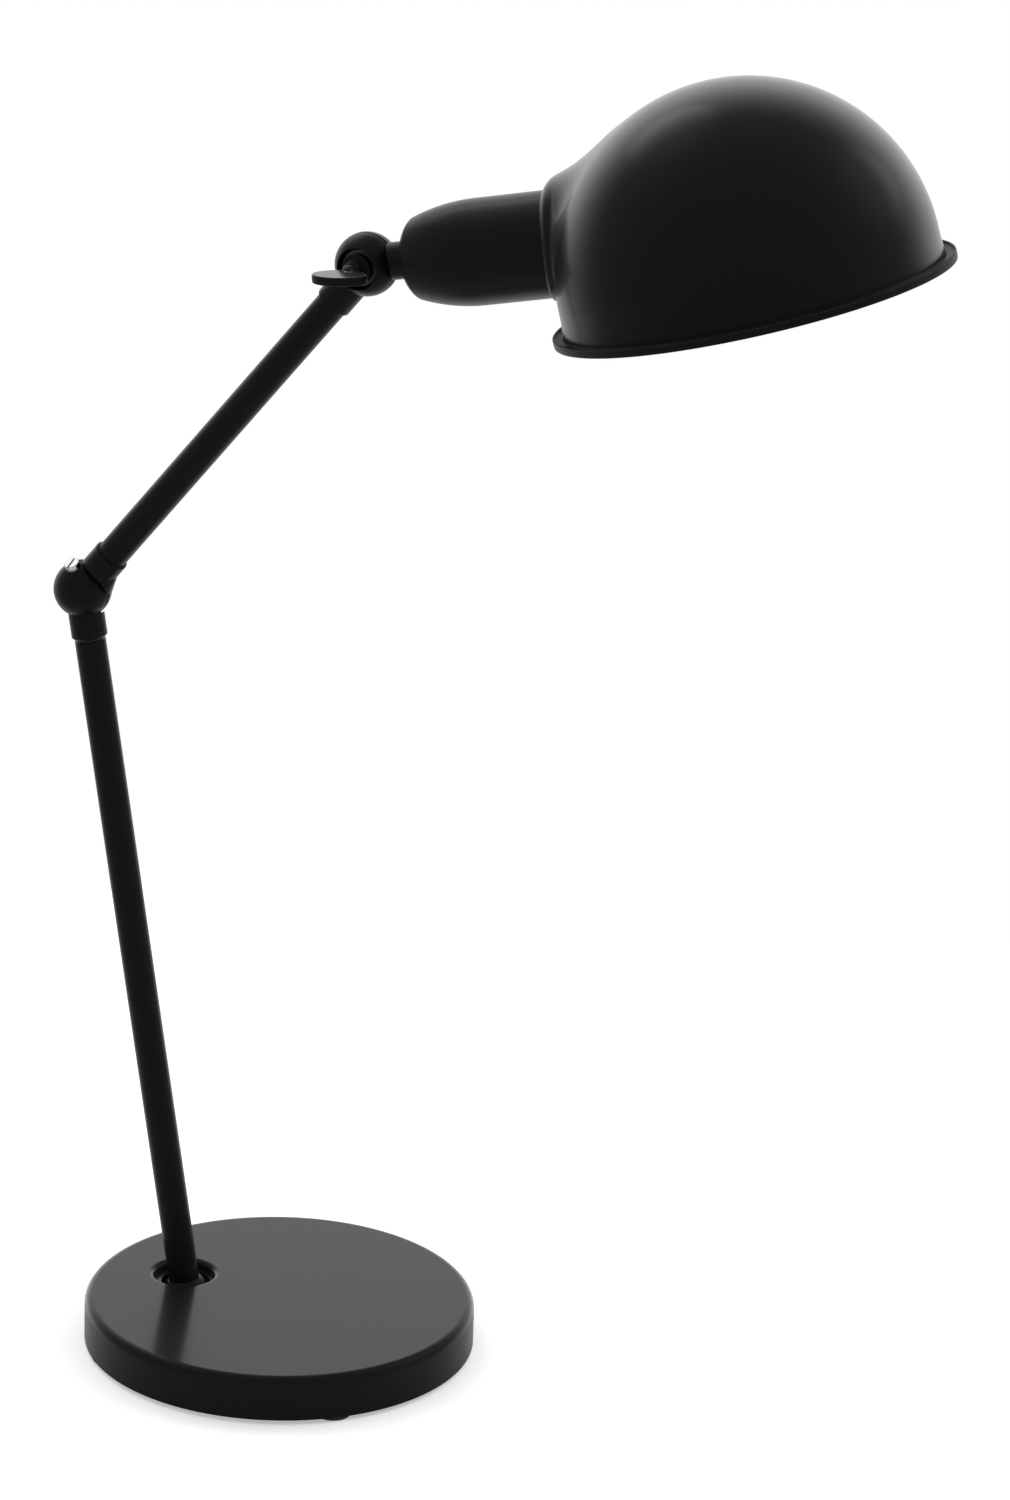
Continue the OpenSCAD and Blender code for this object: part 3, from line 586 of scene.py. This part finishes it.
def shapeShade():
    shape = bmesh.new()
    firstAngle = math.atan2(shade["collarRadius"], shade["heart"] - shade["seamAlong"])
    meridian = [Vector((math.sin(angle), -math.cos(angle))) * shade["ballRadius"]
                for angle in ringAngles(firstAngle)]
    spinProfile(shape, meridian, shade["columns"])
    for vert in shape.verts:
        settleOnSkin(vert, firstAngle)

    domeFrame = frameAt((shade["domeBelow"], 0, shade["domeAlong"]), -90 - shade["domeTilt"])
    toDome = domeFrame.inverted()
    up = domeFrame.to_3x3() @ Vector((0, 0, 1))
    wallDown, merge = shade["wallDown"], shade["cutMerge"]
    bmesh.ops.bisect_plane(shape, geom=shape.verts[:] + shape.edges[:] + shape.faces[:], dist=0.0001,
                           plane_co=domeFrame @ Vector((0, 0, wallDown)), plane_no=up, clear_inner=True)
    nearCut = [vert for vert in shape.verts if abs((toDome @ vert.co).z - wallDown) < shade["cutNear"]]
    bmesh.ops.remove_doubles(shape, verts=nearCut, dist=merge)

    def onDome(radius, height):
        def place(co):
            local = toDome @ co
            level = Vector((local.x, local.y)).normalized() * radius
            return domeFrame @ Vector((level.x, level.y, height))
        return place

    def isLow(edge):
        return all((toDome @ vert.co).z < wallDown + merge for vert in edge.verts)

    loops = [edge for edge in shape.edges if edge.is_boundary]
    lowLoop = [edge for edge in loops if isLow(edge)]
    seamLoop = [edge for edge in loops if not isLow(edge)]
    settle = onDome(shade["domeRadius"] + shade["wallFlare"] * wallDown ** 2, wallDown)
    for vert in {vert for edge in lowLoop for vert in edge.verts}:
        vert.co = settle(vert.co)
    for ring in shade["groove"] + shade["lip"]:
        lowLoop = pullLoop(shape, lowLoop, onDome(*ring))
        # Groove faces past its first ring take the finish without the clear skin: painted shade in the groove
        if ring in shade["groove"][1:]:
            for face in {face for edge in lowLoop for face in edge.link_faces}:
                face.material_index = shadeFinishes.index(grooveShadeFinish)

    def onCollar(inset, radius):
        def place(co):
            level = Vector((co.x, co.y)).normalized() * radius
            edge = level.normalized() * shade["collarRadius"]
            return Vector((level.x, level.y, seamPlace(edge.y, -edge.x) + inset))
        return place

    for ring in shade["collarLip"]:
        seamLoop = pullLoop(shape, seamLoop, onCollar(*ring))
    bmesh.ops.recalc_face_normals(shape, faces=shape.faces)
    top = max(shape.faces, key=lambda face: (toDome @ face.calc_center_median()).z)
    if top.normal.dot(up) < 0:
        bmesh.ops.reverse_faces(shape, faces=shape.faces)
    bmesh.ops.transform(shape, matrix=frameAt(jointPlace["wrist"], headLean), verts=shape.verts)
    return shape


# Each outer finish is followed by that of the sheet's inside
shadeFinishes = [blackShade, whitePaint, grooveShadeFinish, whitePaint]
shadePiece = newPiece("shade", shapeShade(), "head", ["shade"], shadeFinishes)
wall = shadePiece.modifiers.new("wall", "SOLIDIFY")
wall.thickness = shade["sheet"] * mm
wall.offset = -1
wall.material_offset = 1
print("Shade made:", len(shadePiece.data.polygons), "faces")

# Base cover: a pressed lid with a recess behind its middle

base = {
    "radius": 85.0,
    "top": 21.5,
    "lowerEdge": 2.1,
    "edgeRound": 3.8,
    "sheet": 1.2,
    "flatFrom": 78,                 # inside this radius the top is one flat face
    "recessPlace": -47.3,
    "recessRadius": 12.9,
    "recessLip": 2.6,
    "recessReach": 4.2,             # from the recess's wall to where the top is flat
    "recessFloor": 17.6,
    "wallLean": 0.1,
    "holePlace": -46.47,
    "holeRadius": 10.7,
    "holeEdge": (0.1, 0.05, 0.5),   # reach, rounding and depth of the hole's edge
    "inlet": (-85.0, 9.55, 4.53),   # x, z and radius of the hole for the bush
    "knifeLong": 12,
    "steps": 144,
    "edgeSteps": 9,
    "recessRound": (9, 0.03),       # steps and guard of each rounding
    "holeRound": (3, 0.05),
    "inletSteps": 64,
}


def ringEdges(shape, place, radius, height, near=0.02):
    # The edges of one ring about a vertical axis at x = place
    def isOn(vert):
        away = math.hypot(vert.co.x - place, vert.co.y)
        return abs(away - radius) < near and abs(vert.co.z - height) < near
    return [edge for edge in shape.edges if edge.is_boundary and isOn(edge.verts[0]) and isOn(edge.verts[1])]


def spunRing(corners, place, steps, guard):
    ring = bmesh.new()
    spinProfile(ring, softProfile(corners, steps=steps, guard=guard), base["steps"])
    bmesh.ops.translate(ring, verts=ring.verts, vec=(place, 0, 0))
    return ring


def shapeBase():
    shape = bmesh.new()
    top, floorHeight = base["top"], base["recessFloor"]
    radius, flatFrom = base["radius"], base["flatFrom"]
    wall, reach, hole = base["recessRadius"], base["recessReach"], base["holeRadius"]
    edgeReach, edgeRound, edgeDeep = base["holeEdge"]
    rim = softProfile([(radius, base["lowerEdge"], 0), (radius, top, base["edgeRound"]), (flatFrom, top, 0)],
                      steps=base["edgeSteps"])
    spinProfile(shape, rim, base["steps"])
    recess = [(wall + reach, top, 0), (wall + base["wallLean"], top, base["recessLip"]), (wall, floorHeight, 0)]
    edge = [(hole + edgeReach, floorHeight, 0), (hole, floorHeight, edgeRound),
            (hole, floorHeight - edgeDeep, 0)]
    join(shape, spunRing(recess, base["recessPlace"], *base["recessRound"]))
    join(shape, spunRing(edge, base["holePlace"], *base["holeRound"]))
    bmesh.ops.bridge_loops(shape, edges=ringEdges(shape, 0, flatFrom, top)
                           + ringEdges(shape, base["recessPlace"], wall + reach, top))
    bmesh.ops.bridge_loops(shape, edges=ringEdges(shape, base["recessPlace"], wall, floorHeight)
                           + ringEdges(shape, base["holePlace"], hole + edgeReach, floorHeight))
    bmesh.ops.recalc_face_normals(shape, faces=shape.faces)
    if max(shape.faces, key=lambda face: face.calc_area()).normal.z < 0:
        bmesh.ops.reverse_faces(shape, faces=shape.faces)
    bmesh.ops.solidify(shape, geom=shape.faces[:], thickness=base["sheet"])
    place, height, inlet = base["inlet"]
    knife = bmesh.new()
    bmesh.ops.create_cone(knife, cap_ends=True, segments=base["inletSteps"], radius1=inlet, radius2=inlet,
                          depth=base["knifeLong"], matrix=frameAt((place, 0, height), 90))
    return carve(shape, knife)


basePiece = newPiece("baseCover", shapeBase(), "base", ["base_cover"], [blackLid])
print("Base cover made:", len(basePiece.data.polygons), "faces")

# Wing screw: an oval plate on a stem, with the flange that presses the washer

wing = {
    "rise": -6.0,              # degrees about the joint
    # radius, place along the screw and rounding
    "stem": ((0, 8, 0), (3, 8, 0.4), (3, -7.02, 0), (6.4, -7.02, 0.3), (6.4, -10.8, 0.9), (4.6, -10.8, 0.5),
             (4, -14.5, 0.8), (3.1, -15.4, 0.5), (2.9, -18.4, 0.6), (1.2, -20.5, 0), (0, -20.5, 0)),
    "stemSteps": 64,
    "plateAt": -25.0,
    "plateHalfLength": 12.25,
    "plateHalfWidth": 6.95,
    "plateThick": 3.7,
    "plateEdge": 0.55,
    "plateSteps": 72,
    "capInset": 0.15,
}


def shapeWing():
    shape = bmesh.new()
    spinProfile(shape, softProfile(wing["stem"], steps=4, guard=0.1), wing["stemSteps"], axis="Y")
    plate = bmesh.new()
    bmesh.ops.create_circle(plate, cap_ends=True, segments=wing["plateSteps"], radius=1)
    bmesh.ops.scale(plate, verts=plate.verts, vec=(wing["plateHalfLength"], wing["plateHalfWidth"], 1))
    bmesh.ops.translate(plate, verts=plate.verts, vec=(0, wing["plateAt"], -wing["plateThick"] / 2))
    lifted = bmesh.ops.extrude_face_region(plate, geom=plate.faces[:])["geom"]
    bmesh.ops.translate(plate, verts=[item for item in lifted if isinstance(item, bmesh.types.BMVert)],
                        vec=(0, 0, wing["plateThick"]))
    bmesh.ops.recalc_face_normals(plate, faces=plate.faces)
    rims = [edge for edge in plate.edges if abs(edge.verts[0].co.z - edge.verts[1].co.z) < 0.01]
    bmesh.ops.bevel(plate, geom=rims, offset=wing["plateEdge"], segments=4, profile=0.5, affect="EDGES",
                    material=-1)
    caps = [face for face in plate.faces if len(face.verts) > 4]
    bmesh.ops.inset_region(plate, faces=caps, thickness=wing["capInset"])
    join(shape, plate)
    bmesh.ops.transform(shape, matrix=frameAt(jointPlace["wrist"], wing["rise"]), verts=shape.verts)
    return shape


newPiece("wingScrew", shapeWing(), "wing_screw", ["wing_screw"], [blackLid])

# Elbow stop screw: a bright cheese head with a slot

stopScrew = {
    "tilt": 25.4,              # degrees to the near side
    "seat": 11.9,
    "headRadius": 3.3,
    "headHigh": 2.7,
    "headEdge": 0.45,
    "tip": 6.5,
    "tipEdge": 0.3,
    "shankRadius": 1.5,
    "slotWide": 1.0,
    "slotDeep": 1.1,
    "slotTurn": 82,
    "steps": 72,
}


def shapeStopScrew():
    shape = bmesh.new()
    seat, tip, head, shank = (stopScrew[key] for key in ("seat", "tip", "headRadius", "shankRadius"))
    top = seat + stopScrew["headHigh"]
    corners = [(0, tip, 0), (shank, tip, stopScrew["tipEdge"]), (shank, seat, 0), (head, seat, 0),
               (head, top, stopScrew["headEdge"]), (0, top, 0)]
    spinProfile(shape, softProfile(corners, guard=0.1), stopScrew["steps"])
    # The knife stands past the head on all sides but the slot's floor
    knife = bmesh.new()
    bmesh.ops.create_cube(knife, size=1)
    bmesh.ops.scale(knife, verts=knife.verts, vec=(3 * head, stopScrew["slotWide"], 2 * stopScrew["slotDeep"]))
    bmesh.ops.translate(knife, verts=knife.verts, vec=(0, 0, top))
    bmesh.ops.rotate(knife, verts=knife.verts, cent=(0, 0, 0),
                     matrix=Matrix.Rotation(math.radians(stopScrew["slotTurn"]), 3, "Z"))
    shape = carve(shape, knife)
    lean = Matrix.Rotation(math.radians(stopScrew["tilt"]), 4, "X")
    bmesh.ops.transform(shape, matrix=frameAt(jointPlace["elbow"], lowerArmLean) @ lean, verts=shape.verts)
    return shape


newPiece("elbowStopScrew", shapeStopScrew(), "lower_arm", ["elbow_stop_screw"], [slotFinish["bright_steel"]],
         sharpAngle=30)
print("Screws made")
